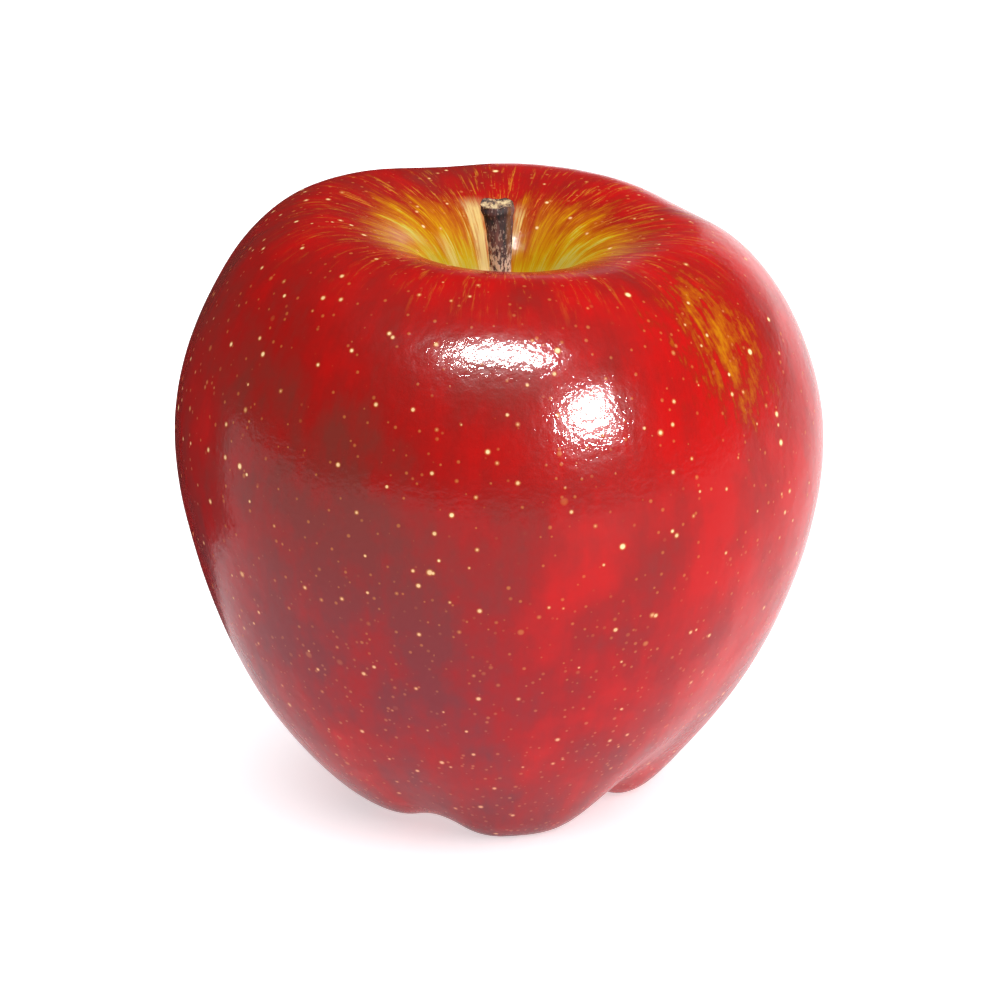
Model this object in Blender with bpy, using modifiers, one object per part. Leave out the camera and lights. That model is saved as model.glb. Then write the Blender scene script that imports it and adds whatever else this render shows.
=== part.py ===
"""A tall, five-lobed red dessert apple that stands on its own lobes.

The fruit is one solid. Its dried stem sits in a socket at the bottom of the stem cavity. The
dried calyx sits in the eye, at the top of the basin underneath: five sepals, a ring of
stamens and a tuft of styles. Metres, +Z up. The origin is on the surface that the apple
stands on, under the middle of the fruit's box. Azimuths run from -Y towards +X.
"""

from collections import namedtuple
from math import acos, atan2, cos, pi, radians, sin

import bmesh
import bpy
import numpy as np

# A ring of the skin: its radius and height in the valleys between the five lobes, and how
# far the crest of a lobe stands out of the valley and rises above it (negative: hangs below).
Ring = namedtuple("Ring", "radius height crest_out crest_rise")
# A lobe: its azimuth in degrees, its share of the full crest_out and crest_rise, and how many
# degrees it reaches to each side.
Lobe = namedtuple("Lobe", "azimuth out rise half_width")

# ---- Clearance
SEAT_GAP = 0.0003  # between a piece and what it sits in or beside

# ---- Stem
STEM_BASE_RADIUS = 0.00115
STEM_MIDDLE_RADIUS = 0.00145
STEM_TOP_RADIUS = 0.00205  # the flared collar where it broke from the spur
STEM_LENGTH = 0.0182  # above the socket
STEM_SWAY = (0.0000, 0.0004)  # how far its top leans in X and Y
STEM_FLARE_POWER = 5  # higher keeps the flare nearer the top
STEM_FLARE_LEAN = -1.0  # how far the flare bulges to one side in X, as a share of itself
STEM_POINTS = 12
SOCKET_DEPTH = 0.0035

# ---- Calyx
STAMEN_COUNT = 15
STAMEN_RADIUS = 0.00013
STAMEN_RING_RADIUS = 0.00175
STAMEN_LENGTHS = (0.0062, 0.0071, 0.0055, 0.0067, 0.0059)  # taken in turn round the ring
STAMEN_WAIST = 0.0002  # how far the middle draws inside the ring of the roots
STAMEN_POINTS = 7
ANTHER_RADIUS = 0.00022
STYLES_RADIUS = 0.00045
STYLES_TIP_RADIUS = 0.00062
STYLES_LENGTH = 0.0060
STYLES_POINTS = 6
SEPAL_LENGTH = 0.0066
SEPAL_THICKNESS = 0.0003
SEPAL_SIDE_GAP = 0.00043  # between the roots of two neighbours
SEPAL_INSET = 0.0006  # how far a root reaches up inside the calyx tube
SEPAL_NECK = 0.0020  # the stretch from the root that stays straight
SEPAL_CURLS = (104, 74, 112, 62, 90)  # degrees that each blade turns outwards, neck to tip
SEPAL_TIP_SHARE = 0.12  # width at the tip, as a share of the width at the root
FIRST_SEPAL_AZIMUTH = 48
TUBE_DEPTH = 0.0036  # of the calyx tube above the eye

# ---- Fruit
SOCKET_RADIUS = STEM_BASE_RADIUS + SEAT_GAP
SEPAL_ROOT_RADIUS = STAMEN_RING_RADIUS + STAMEN_RADIUS + SEAT_GAP + SEPAL_THICKNESS / 2
SEPAL_WIDTH = 2 * pi * SEPAL_ROOT_RADIUS / len(SEPAL_CURLS) - SEPAL_SIDE_GAP
EYE_RADIUS = SEPAL_ROOT_RADIUS + SEPAL_THICKNESS / 2 + SEAT_GAP

FRUIT_RADIUS = 0.0375  # at its widest
WIDEST_HEIGHT = 0.0457
CREST_RADIUS = 0.0212  # of the ring along the top of the shoulders
CREST_HEIGHT = 0.0699
CAVITY_DEPTH = 0.0158  # from the shoulders down to the socket
FOOT_RADIUS = 0.0133  # of the ring along the bottoms of the lobes
FOOT_FLAT_DEPTH = 0.0005  # how much of the longest lobes is pressed flat by standing
BASIN_DEPTH = 0.0078  # from the valleys between the feet up to the eye

SHOULDER_CREST_OUT = 0.0008
SHOULDER_CREST_RISE = 0.0003
WIDEST_CREST_OUT = 0.0005
FOOT_CREST_OUT = 0.0014
FOOT_CREST_DROP = 0.0032

LOBES = (
    Lobe(12, 1.00, 1.00, 44),
    Lobe(88, 1.25, 0.95, 36),
    Lobe(161, 0.95, 1.00, 36),
    Lobe(233, 1.00, 1.00, 36),
    Lobe(308, 0.75, 0.68, 40),
)
LOBE_FULLNESS = 1.8  # above 1, crests are broad and valleys narrow

LEAN = 0.018  # sideways shift in X for each metre of height
TILT = -0.06  # how much the shoulders rise for each metre towards +X

# The rings between two named rings, as shares of the way from the first to the second in
# radius, height, crest_out and crest_rise.
CAVITY_CURVE = (
    (0.205, 0.430, 0.10, 0.00),
    (0.362, 0.725, 0.20, 0.10),
    (0.482, 0.850, 0.35, 0.30),
    (0.700, 0.948, 0.60, 0.60),
)
SHOULDER_CURVE = ((0.42, 0.13, 0.10, 0.10), (0.78, 0.47, 0.50, 0.60))
FLANK_CURVE = ((0.09, 0.36, 0.10, 0.00), (0.35, 0.69, 0.40, 0.06), (0.70, 0.92, 0.90, 0.52))
BASIN_CURVE = ((0.49, 0.42, 0.55, 0.38), (0.85, 0.79, 0.95, 0.88))

THROAT = Ring(SOCKET_RADIUS, CREST_HEIGHT - CAVITY_DEPTH, 0.0, 0.0)
CREST = Ring(CREST_RADIUS, CREST_HEIGHT, SHOULDER_CREST_OUT, SHOULDER_CREST_RISE)
WIDEST = Ring(FRUIT_RADIUS, WIDEST_HEIGHT, WIDEST_CREST_OUT, 0.0)
FOOT = Ring(FOOT_RADIUS, FOOT_CREST_DROP - FOOT_FLAT_DEPTH, FOOT_CREST_OUT, -FOOT_CREST_DROP)
EYE = Ring(EYE_RADIUS, FOOT.height + BASIN_DEPTH, 0.0, 0.0)
SOCKET_FLOOR_HEIGHT = THROAT.height - SOCKET_DEPTH
TUBE_FLOOR_HEIGHT = EYE.height + TUBE_DEPTH

# ---- Fineness
FRUIT_COLUMNS = 50
ROWS_PER_RING = 4
SEPAL_COLUMNS = 4
SEPAL_ROWS = 9
STEM_BEVEL_RESOLUTION = 4
STAMEN_BEVEL_RESOLUTION = 1

COLLECTION_NAME = "apple"


def rings_between(first, last, curve):
    """The rings of a curve given as shares of the way from the first ring to the last."""
    rings = []
    for shares in curve:
        values = [a + (b - a) * share for a, b, share in zip(first, last, shares)]
        rings.append(Ring(*values))
    return rings


def skin_rings():
    """All rings of the skin, from the throat of the stem cavity down and in to the eye."""
    named = (THROAT, CREST, WIDEST, FOOT, EYE)
    curves = (CAVITY_CURVE, SHOULDER_CURVE, FLANK_CURVE, BASIN_CURVE)
    rings = [THROAT]
    for first, last, curve in zip(named, named[1:], curves):
        rings += rings_between(first, last, curve)
        rings.append(last)
    return np.array(rings)


def second_derivatives(knots, values):
    """Second derivatives of the natural cubic spline through the values at the knots."""
    steps = np.diff(knots)
    system = np.eye(len(knots))
    wanted = np.zeros_like(values)
    for i in range(1, len(knots) - 1):
        before, after = steps[i - 1], steps[i]
        system[i, i - 1 : i + 2] = before, 2 * (before + after), after
        rise_after = (values[i + 1] - values[i]) / after
        rise_before = (values[i] - values[i - 1]) / before
        wanted[i] = 6 * (rise_after - rise_before)
    return np.linalg.solve(system, wanted)


def smooth_rings(positions):
    """Ring values at positions counted in rings, on one smooth curve through all rings."""
    rings = skin_rings()
    spans = np.hypot(np.diff(rings[:, 0]), np.diff(rings[:, 1]))
    knots = np.concatenate(([0.0], np.cumsum(spans)))
    bends = second_derivatives(knots, rings)
    along = np.interp(positions, np.arange(len(rings)), knots)
    i = np.clip(np.searchsorted(knots, along, side="right") - 1, 0, len(spans) - 1)
    span = spans[i][:, None]
    b = (along - knots[i])[:, None] / span
    a = 1 - b
    curved = ((a**3 - a) * bends[i] + (b**3 - b) * bends[i + 1]) * span**2 / 6
    return a * rings[i] + b * rings[i + 1] + curved


def lobe_shares(azimuth):
    """How much of the full crest_out and crest_rise the skin has at an azimuth."""
    out = 0.0
    rise = 0.0
    for lobe in LOBES:
        offset = (azimuth - radians(lobe.azimuth) + pi) % (2 * pi) - pi
        share = min(abs(offset) / radians(lobe.half_width), 1.0)
        swell = 1 - sin(share * pi / 2) ** (2 * LOBE_FULLNESS)
        out += lobe.out * swell
        rise += lobe.rise * swell
    return out, rise


def leaned(radius, azimuth, height):
    """A point round the fruit's axis, which leans, with shoulders that tilt."""
    x = radius * sin(azimuth)
    y = -radius * cos(azimuth)
    z = height + TILT * x * height / CREST_HEIGHT
    return x + LEAN * height, y, z


def skin_point(ring, azimuth):
    """A point of the skin on a ring; what would reach below the ground is pressed flat."""
    out, rise = lobe_shares(azimuth)
    radius = ring[0] + ring[2] * out
    height = ring[1] + ring[3] * rise
    x, y, z = leaned(radius, azimuth, height)
    return x, y, max(z, 0.0)


def material(name, colour, roughness):
    """A plain Principled material."""
    made = bpy.data.materials.new(name)
    made.use_nodes = True
    shader = made.node_tree.nodes["Principled BSDF"]
    shader.inputs["Base Color"].default_value = (*colour, 1.0)
    shader.inputs["Roughness"].default_value = roughness
    shader.inputs["Metallic"].default_value = 0.0
    return made


def add_piece(name, data, finish, collection, parent):
    """Link one piece into the collection, with its material, under the parent."""
    piece = bpy.data.objects.new(name, data)
    data.materials.append(finish)
    collection.objects.link(piece)
    piece.parent = parent
    return piece


def fruit_mesh():
    """The fruit: a sphere whose rows are laid along the skin, with socket and calyx tube."""
    ring_count = len(skin_rings())
    skin_rows = (ring_count - 1) * ROWS_PER_RING
    row_count = skin_rows + 4  # two more at each pole, for the floors of socket and tube
    rings = smooth_rings(np.arange(skin_rows + 1) / ROWS_PER_RING)
    floors = {
        0: (0.0, SOCKET_FLOOR_HEIGHT),
        1: (SOCKET_RADIUS, SOCKET_FLOOR_HEIGHT),
        row_count - 1: (EYE_RADIUS, TUBE_FLOOR_HEIGHT),
        row_count: (0.0, TUBE_FLOOR_HEIGHT),
    }
    mesh = bmesh.new()
    bmesh.ops.create_uvsphere(
        mesh, u_segments=FRUIT_COLUMNS, v_segments=row_count, radius=1.0
    )
    for vertex in mesh.verts:
        row = round(acos(max(-1.0, min(1.0, vertex.co.z))) / pi * row_count)
        azimuth = atan2(vertex.co.x, -vertex.co.y)
        if row in floors:
            radius, height = floors[row]
            vertex.co = leaned(radius, azimuth, height)
        else:
            vertex.co = skin_point(rings[row - 2], azimuth)
    data = bpy.data.meshes.new("fruit")
    mesh.to_mesh(data)
    mesh.free()
    data.shade_smooth()
    return data


def tube_curve(name, points, radii, bevel_resolution):
    """A round tube along the points, with its own radius at each and closed ends."""
    data = bpy.data.curves.new(name, "CURVE")
    data.dimensions = "3D"
    data.bevel_depth = 1.0
    data.bevel_resolution = bevel_resolution
    data.use_fill_caps = True
    spline = data.splines.new("POLY")
    spline.points.add(len(points) - 1)
    for target, point, radius in zip(spline.points, points, radii):
        target.co = (*point, 1.0)
        target.radius = radius
    return data


def stem_curve():
    """The stem: straight in its socket, then leaning, with a flared broken top."""
    points = [leaned(0.0, 0.0, SOCKET_FLOOR_HEIGHT + SEAT_GAP)]
    radii = [STEM_BASE_RADIUS]
    for i in range(STEM_POINTS):
        share = i / (STEM_POINTS - 1)
        taper = (STEM_MIDDLE_RADIUS - STEM_BASE_RADIUS) * share
        flare = (STEM_TOP_RADIUS - STEM_MIDDLE_RADIUS) * share**STEM_FLARE_POWER
        x, y, z = leaned(0.0, 0.0, THROAT.height + STEM_LENGTH * share)
        x += STEM_SWAY[0] * share**1.5 + STEM_FLARE_LEAN * flare
        y += STEM_SWAY[1] * share**1.5
        points.append((x, y, z))
        radii.append(STEM_BASE_RADIUS + taper + flare)
    return tube_curve("stem", points, radii, STEM_BEVEL_RESOLUTION)


def stamen_curve(number):
    """One stamen: out of the calyx tube, drawn in at the middle, with an anther at its tip."""
    azimuth = 2 * pi * number / STAMEN_COUNT
    length = STAMEN_LENGTHS[number % len(STAMEN_LENGTHS)]
    points = []
    radii = []
    for i in range(STAMEN_POINTS):
        share = i / (STAMEN_POINTS - 1)
        drawn_in = STAMEN_WAIST * sin(pi * share) + (ANTHER_RADIUS - STAMEN_RADIUS) * share
        radius = STAMEN_RING_RADIUS - drawn_in
        height = TUBE_FLOOR_HEIGHT - SEAT_GAP - length * share
        points.append(leaned(radius, azimuth, height))
        radii.append(ANTHER_RADIUS if i == STAMEN_POINTS - 2 else STAMEN_RADIUS)
    return tube_curve(f"stamen_{number + 1}", points, radii, STAMEN_BEVEL_RESOLUTION)


def styles_curve():
    """The five dried styles as one tuft, joined from the floor of the calyx tube."""
    points = []
    radii = []
    for i in range(STYLES_POINTS):
        share = i / (STYLES_POINTS - 1)
        height = TUBE_FLOOR_HEIGHT - SEAT_GAP - STYLES_LENGTH * share
        points.append(leaned(0.0, 0.0, height))
        radii.append(STYLES_RADIUS + (STYLES_TIP_RADIUS - STYLES_RADIUS) * share**2)
    return tube_curve("styles", points, radii, STAMEN_BEVEL_RESOLUTION)


def sepal_path(curl):
    """Radius and height of each row of a sepal, from its root down and then outwards."""
    step = SEPAL_LENGTH / SEPAL_ROWS
    radius = SEPAL_ROOT_RADIUS
    height = EYE.height + SEPAL_INSET
    path = [(radius, height)]
    for i in range(SEPAL_ROWS):
        past_neck = step * (i + 0.5) - SEPAL_NECK
        heading = radians(curl) * max(0.0, past_neck) / (SEPAL_LENGTH - SEPAL_NECK)
        radius += step * sin(heading)
        height -= step * cos(heading)
        path.append((radius, height))
    return path


def sepal_mesh(number):
    """One sepal: a blade that follows the round of the eye and narrows to its tip."""
    middle = radians(FIRST_SEPAL_AZIMUTH + 360 * number / len(SEPAL_CURLS))
    path = sepal_path(SEPAL_CURLS[number])
    mesh = bmesh.new()
    bmesh.ops.create_grid(
        mesh, x_segments=SEPAL_COLUMNS, y_segments=SEPAL_ROWS, size=1.0
    )
    for vertex in mesh.verts:
        share = (vertex.co.y + 1) / 2
        radius, height = path[round(share * SEPAL_ROWS)]
        width = SEPAL_WIDTH * (1 - (1 - SEPAL_TIP_SHARE) * share**2)
        azimuth = middle + vertex.co.x * width / 2 / radius
        vertex.co = leaned(radius, azimuth, height)
    data = bpy.data.meshes.new(f"sepal_{number + 1}")
    mesh.to_mesh(data)
    mesh.free()
    data.shade_smooth()
    return data


def add_sepals(finish, collection, parent):
    """The five sepals, each a blade given its thickness."""
    for number in range(len(SEPAL_CURLS)):
        data = sepal_mesh(number)
        sepal = add_piece(data.name, data, finish, collection, parent)
        shell = sepal.modifiers.new("thickness", "SOLIDIFY")
        shell.thickness = SEPAL_THICKNESS
        shell.offset = 0.0


def build():
    """Clear the scene and build the apple."""
    for old in list(bpy.data.objects):
        bpy.data.objects.remove(old, do_unlink=True)
    collection = bpy.data.collections.new(COLLECTION_NAME)
    bpy.context.scene.collection.children.link(collection)
    centre = bpy.data.objects.new("apple_centre", None)
    collection.objects.link(centre)

    skin = material("apple_skin", (0.42, 0.010, 0.014), 0.28)
    bark = material("stem_bark", (0.16, 0.095, 0.055), 0.8)
    dried_leaf = material("dried_sepal", (0.055, 0.040, 0.025), 0.9)
    dried_thread = material("dried_stamen", (0.10, 0.065, 0.035), 0.9)

    data = fruit_mesh()
    corners = np.array([vertex.co for vertex in data.vertices])
    middle = (corners.min(axis=0) + corners.max(axis=0)) / 2
    centre.location = (-middle[0], -middle[1], 0.0)

    add_piece("fruit", data, skin, collection, centre)
    add_piece("stem", stem_curve(), bark, collection, centre)
    add_sepals(dried_leaf, collection, centre)
    for number in range(STAMEN_COUNT):
        data = stamen_curve(number)
        add_piece(data.name, data, dried_thread, collection, centre)
    add_piece("styles", styles_curve(), dried_thread, collection, centre)


build()
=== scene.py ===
"""The looks of a tall red dessert apple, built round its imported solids.

The fruit, stem, sepals, stamens and styles are rebuilt here at a finer grain from the same
sizes as the solids, and given their materials. Metres, +Z up. Azimuths run from -Y to +X.
"""

from collections import namedtuple
from math import cos, pi, radians, sin

import bpy
import numpy as np
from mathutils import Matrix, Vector, noise


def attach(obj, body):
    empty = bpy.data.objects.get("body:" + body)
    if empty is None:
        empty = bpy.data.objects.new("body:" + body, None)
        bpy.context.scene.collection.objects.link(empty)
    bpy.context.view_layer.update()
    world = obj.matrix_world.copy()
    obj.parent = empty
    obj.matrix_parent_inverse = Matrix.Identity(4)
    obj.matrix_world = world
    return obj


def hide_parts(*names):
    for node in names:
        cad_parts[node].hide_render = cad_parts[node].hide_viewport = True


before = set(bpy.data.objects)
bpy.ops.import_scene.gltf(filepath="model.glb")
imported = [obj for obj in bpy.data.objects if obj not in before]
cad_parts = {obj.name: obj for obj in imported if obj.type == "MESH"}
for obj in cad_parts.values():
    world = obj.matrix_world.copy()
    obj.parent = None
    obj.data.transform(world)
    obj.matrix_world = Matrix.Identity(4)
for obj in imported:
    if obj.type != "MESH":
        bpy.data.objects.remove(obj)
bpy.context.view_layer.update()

# ---- Sizes shared with the solids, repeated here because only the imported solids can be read
SEAT_GAP = 0.0003

STEM_BASE_RADIUS = 0.00115
STEM_MIDDLE_RADIUS = 0.00145
STEM_TOP_RADIUS = 0.00205
STEM_LENGTH = 0.0182
STEM_SWAY = (0.0000, 0.0004)
STEM_SWAY_POWER = 1.5
STEM_FLARE_LEAN = -1.0
STEM_FLARE_POWER = 5
SOCKET_DEPTH = 0.0035

STAMEN_COUNT = 15
STAMEN_RADIUS = 0.00013
STAMEN_RING_RADIUS = 0.00175
STAMEN_LENGTHS = (0.0062, 0.0071, 0.0055, 0.0067, 0.0059)
STAMEN_WAIST = 0.0002
ANTHER_RADIUS = 0.00022
STYLES_RADIUS = 0.00045
STYLES_TIP_RADIUS = 0.00062
STYLES_LENGTH = 0.0060
SEPAL_LENGTH = 0.0066
SEPAL_THICKNESS = 0.0003
SEPAL_SIDE_GAP = 0.00043
SEPAL_INSET = 0.0006
SEPAL_NECK = 0.0020
SEPAL_CURLS = (104, 74, 112, 62, 90)
SEPAL_TIP_SHARE = 0.12
FIRST_SEPAL_AZIMUTH = 48
TUBE_DEPTH = 0.0036

SOCKET_RADIUS = STEM_BASE_RADIUS + SEAT_GAP
SEPAL_ROOT_RADIUS = STAMEN_RING_RADIUS + STAMEN_RADIUS + SEAT_GAP + SEPAL_THICKNESS / 2
SEPAL_WIDTH = 2 * pi * SEPAL_ROOT_RADIUS / len(SEPAL_CURLS) - SEPAL_SIDE_GAP
EYE_RADIUS = SEPAL_ROOT_RADIUS + SEPAL_THICKNESS / 2 + SEAT_GAP

FRUIT_RADIUS = 0.0375
WIDEST_HEIGHT = 0.0457
CREST_RADIUS = 0.0212
CREST_HEIGHT = 0.0699
CAVITY_DEPTH = 0.0158
FOOT_RADIUS = 0.0133
FOOT_FLAT_DEPTH = 0.0005
BASIN_DEPTH = 0.0078
SHOULDER_CREST_OUT = 0.0008
SHOULDER_CREST_RISE = 0.0003
WIDEST_CREST_OUT = 0.0005
FOOT_CREST_OUT = 0.0014
FOOT_CREST_DROP = 0.0032

Ring = namedtuple("Ring", "radius height crest_out crest_rise")
Lobe = namedtuple("Lobe", "azimuth out rise half_width")
LOBES = (
    Lobe(12, 1.00, 1.00, 44),
    Lobe(88, 1.25, 0.95, 36),
    Lobe(161, 0.95, 1.00, 36),
    Lobe(233, 1.00, 1.00, 36),
    Lobe(308, 0.75, 0.68, 40),
)
LOBE_FULLNESS = 1.8
LEAN = 0.018
TILT = -0.06

CAVITY_CURVE = (
    (0.205, 0.430, 0.10, 0.00),
    (0.362, 0.725, 0.20, 0.10),
    (0.482, 0.850, 0.35, 0.30),
    (0.700, 0.948, 0.60, 0.60),
)
SHOULDER_CURVE = ((0.42, 0.13, 0.10, 0.10), (0.78, 0.47, 0.50, 0.60))
FLANK_CURVE = ((0.09, 0.36, 0.10, 0.00), (0.35, 0.69, 0.40, 0.06), (0.70, 0.92, 0.90, 0.52))
BASIN_CURVE = ((0.49, 0.42, 0.55, 0.38), (0.85, 0.79, 0.95, 0.88))

THROAT = Ring(SOCKET_RADIUS, CREST_HEIGHT - CAVITY_DEPTH, 0.0, 0.0)
CREST = Ring(CREST_RADIUS, CREST_HEIGHT, SHOULDER_CREST_OUT, SHOULDER_CREST_RISE)
WIDEST = Ring(FRUIT_RADIUS, WIDEST_HEIGHT, WIDEST_CREST_OUT, 0.0)
FOOT = Ring(FOOT_RADIUS, FOOT_CREST_DROP - FOOT_FLAT_DEPTH, FOOT_CREST_OUT, -FOOT_CREST_DROP)
EYE = Ring(EYE_RADIUS, FOOT.height + BASIN_DEPTH, 0.0, 0.0)
SOCKET_FLOOR_HEIGHT = THROAT.height - SOCKET_DEPTH
TUBE_FLOOR_HEIGHT = EYE.height + TUBE_DEPTH

# ---- Fineness of the looks
SKIN_COLUMNS = 360
SKIN_ROWS_PER_RING = 16
POCKET_ROWS = 5  # down the stem socket, and up the calyx tube
STEM_COLUMNS = 72
STEM_ROWS = 110
END_ROWS = 10
SEPAL_COLUMNS = 24
SEPAL_ROWS = 40
STAMEN_COLUMNS = 10
STAMEN_ROWS = 28

# ---- Detail in the shapes
# The skin's shallow dents: how wide they are, and how deep.
DENTS = ((0.0210, 0.00030), (0.0070, 0.00005), (0.0024, 0.000012))

# Relief in the bark: its height as a share of the stem's radius, how closely it repeats round
# the stem, and its length along the stem.
Relief = namedtuple("Relief", "share turns length")
BARK_RIDGES = Relief(0.055, 2.6, 0.0060)
BARK_WRINKLES = Relief(0.028, 1.3, 0.0011)
BARK_WARTS = Relief(0.050, 5.0, 0.0009)
WART_THRESHOLD = 0.25
BARK_INSET = 0.07  # as a share of the radius, so that most ridges stay within the solid
COLLAR_SWELL = 0.09
COLLAR_PLACE = 0.955  # as a share of the stem's length
COLLAR_REACH = 0.028
BREAK_UNEVENNESS = 0.00032  # of the rim of the broken end
BREAK_TURNS = 1.7  # how closely that repeats round the stem
BREAK_DISH = 0.00030  # how far the end sinks in its middle
BREAK_LIP = 0.03  # how far its rim leans out, as a share of the radius
# Splinters on the broken end: their height, and how wide they are.
COARSE_SPLINTERS = (0.00030, 0.00070)
FINE_SPLINTERS = (0.00016, 0.00025)

# The sepals and threads: lengths in metres, and shares of a width, thickness or radius.
SEPAL_THINNING = 0.55
SEPAL_RAGGEDNESS = 0.16
SEPAL_WRINKLE = 0.00022
SEPAL_CUP = 0.00020
SEPAL_RIB = 0.00008
SEPAL_RIB_REACH = 0.18
THREAD_CRUMPLE = 0.18
STAMEN_CROOK = 0.00010
STAMEN_TAPER = 0.25
ANTHER_PLACE = 0.93
ANTHER_REACH = 0.045
ANTHER_TIP_START = 0.96
ANTHER_TIP_SHRINK = 0.6
STYLE_STRANDS = 5
STYLE_TWIST = 1.1
STYLE_TAPER = 0.35
STYLE_SHORTENING = 0.04  # of each strand against the one before it
STYLE_KNOB = 0.00006
STYLE_KNOB_PLACE = 0.95
STYLE_KNOB_REACH = 0.05

# ---- Noise in the materials
# How closely it repeats, how many finer octaves it has, and how strong they are. One scale is
# the same in all ways. Three are for X, Y and Z, or for the fruit's course: two for the way
# round, and one for the way along the skin.
Grain = namedtuple("Grain", "scale detail roughness")
FINE_STREAKS = Grain((40, 40, 190), 6, 0.75)
BROAD_STREAKS = Grain((6, 6, 110), 4, 0.65)
BLUSH_STREAKS = Grain((22, 22, 190), 5, 0.70)
BLUSH_SPECKLES = Grain(500, 3, 0.70)
LONG_MOTTLES = Grain((4.5, 4.5, 70), 5, 0.60)
FINE_MOTTLES = Grain((30, 30, 130), 4, 0.60)
CLOUDS = Grain(85, 5, 0.62)
SKIN_GRAIN = Grain(1100, 3, 0.60)
SKIN_WAVES = Grain(330, 2, 0.50)
WAX_RIPPLE = Grain(1200, 2, 0.60)
BARK_FIBRES = Grain((1500, 1500, 260), 5, 0.65)
BARK_FLECKS = Grain((3000, 3000, 1300), 3, 0.65)
PITH = Grain(1000, 5, 0.75)
SEPAL_FIBRES = Grain((1700, 1700, 500), 5, 0.65)
STAMEN_FIBRES = Grain((2400, 2400, 600), 5, 0.65)
DOWN = Grain(3200, 4, 0.70)
PAPER = Grain(60, 4, 0.50)

# ---- Colours, as linear red, green and blue, with their place on a ramp
GROUND_COLOURS = (
    (0.00, (0.54, 0.45, 0.080)),
    (0.14, (0.56, 0.37, 0.006)),
    (0.34, (0.54, 0.205, 0.002)),
    (0.60, (0.42, 0.080, 0.002)),
    (0.90, (0.33, 0.012, 0.004)),
)
RED_COLOURS = (
    (0.32, (0.190, 0.0240, 0.0170)),
    (0.47, (0.310, 0.0090, 0.0070)),
    (0.62, (0.480, 0.0050, 0.0042)),
)
# A bluer red over the lower skin: a painted reflection of the white floor.
FLOOR_REFLECTION_TINT = (0.96, 0.85, 1.6, 1.0)
BASIN_COLOURS = (
    (0.00, (0.48, 0.035, 0.012)),
    (0.45, (0.58, 0.14, 0.012)),
    (0.80, (0.58, 0.33, 0.020)),
    (1.00, (0.40, 0.34, 0.035)),
)
# The colour of the painted highlights on the wall of the stem cavity.
PAINTED_HIGHLIGHT_COLOUR = (0.78, 0.62, 0.24, 1.0)
DASH_COLOUR = (0.66, 0.27, 0.02, 1.0)
HIGH_HALO_COLOUR = (0.62, 0.22, 0.045, 1.0)
LOW_HALO_COLOUR = (0.58, 0.19, 0.080, 1.0)
HIGH_CORE_COLOUR = (0.90, 0.66, 0.34, 1.0)
LOW_CORE_COLOUR = (0.80, 0.46, 0.27, 1.0)
BARK_COLOURS = (
    (0.38, (0.024, 0.006, 0.006)),
    (0.50, (0.150, 0.032, 0.024)),
    (0.64, (0.40, 0.130, 0.095)),
)
FLECK_COLOUR = (0.82, 0.58, 0.48, 1.0)
STRIPE_COLOUR = (0.60, 0.22, 0.030, 1.0)
WOOD_COLOURS = (
    (0.42, (0.035, 0.018, 0.014)),
    (0.50, (0.34, 0.19, 0.10)),
    (0.58, (0.66, 0.50, 0.26)),
)
SEPAL_COLOURS = ((0.32, (0.020, 0.014, 0.009)), (0.68, (0.085, 0.060, 0.036)))
STAMEN_COLOURS = ((0.32, (0.030, 0.018, 0.010)), (0.68, (0.13, 0.085, 0.045)))
DOWN_COLOUR = (0.22, 0.19, 0.15, 1.0)
PAPER_COLOURS = ((0.3, (0.84, 0.84, 0.86)), (0.7, (0.87, 0.87, 0.89)))
PAPER_GLOW_COLOUR = (1.0, 0.98, 1.0, 1.0)
BLACK_CARD_COLOUR = (0.02, 0.004, 0.004, 1.0)
STUDIO_COLOUR = (0.96, 0.98, 1.0, 1.0)

# ---- Colour places
# Stretches of the skin over which something comes or goes, as lengths from the throat.
RIPENING = (0.004, 0.022)
STREAKS_GROW = (0.004, 0.019)
RIPE = (0.018, 0.034)
WAX_THICKENS = (0.008, 0.018)
LENTICELS_BEGIN = (0.009, 0.016)
LENTICELS_SHRINK = (0.058, 0.088)
DASHES_BEGIN = (0.010, 0.018)
DASHES_END = (0.020, 0.036)
# The painted reflection of the floor, a bluer red, comes in over this stretch.
FLOOR_REFLECTION_GROWS = (0.045, 0.085)
BASIN_YELLOWS = (0.1150, 0.1255)
# Stretches of the stem, as shares of its length.
FLECKS_THIN = (0.55, 0.92)
BARK_DARKENS = (0.55, 0.90)

FULL_RIPENESS = 1.25
BLUSH_STRETCH = (1.0, 1.0, 0.5)  # makes the blush twice as tall as wide
BLUSH_PLACE = (0.0240, -0.0175, 0.0305)  # its middle, with the height halved by the stretch
BLUSH_REACH = 0.0205
PAINTED_LIGHT_SIDE = (0.85, 0.00, 0.60)  # the way that the painted light comes from: the red is painted brighter towards it and darker away from it
DEEP_PLACE = (-0.014, -0.031, 0.041)  # the middle of a deeper, browner red patch
DEEP_REACH = 0.026
# Painted highlights: pale bands up the wall of the stem cavity, which start and end at lengths from
# the throat.
Band = namedtuple("Band", "azimuth reach start end strength")
PAINTED_HIGHLIGHT_BANDS = (
    Band(197, 0.16, 0.004, 0.0200, 0.75),
    Band(230, 0.15, 0.006, 0.0150, 0.60),
    Band(169, 0.10, 0.010, 0.0185, 0.60),
)
BAND_FADE = 0.003
# Lenticels: how far apart they are, their radius, and the share of places that have one.
Dots = namedtuple("Dots", "spacing radius share")
LARGE_DOTS = Dots(0.0036, 0.00050, 0.85)
MEDIUM_DOTS = Dots(0.0022, 0.00038, 0.88)
SMALL_DOTS = Dots(0.0014, 0.00026, 0.90)
DENSE_DOTS = Dots(0.0013, 0.00026, 0.95)
STRIPE_STRETCH = (1.0, 1.0, 0.15)  # makes the stem's stripe long
STRIPE_PLACE = (0.0014, -0.0010, 0.0104)  # its middle, with the height cut by the stretch

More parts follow.
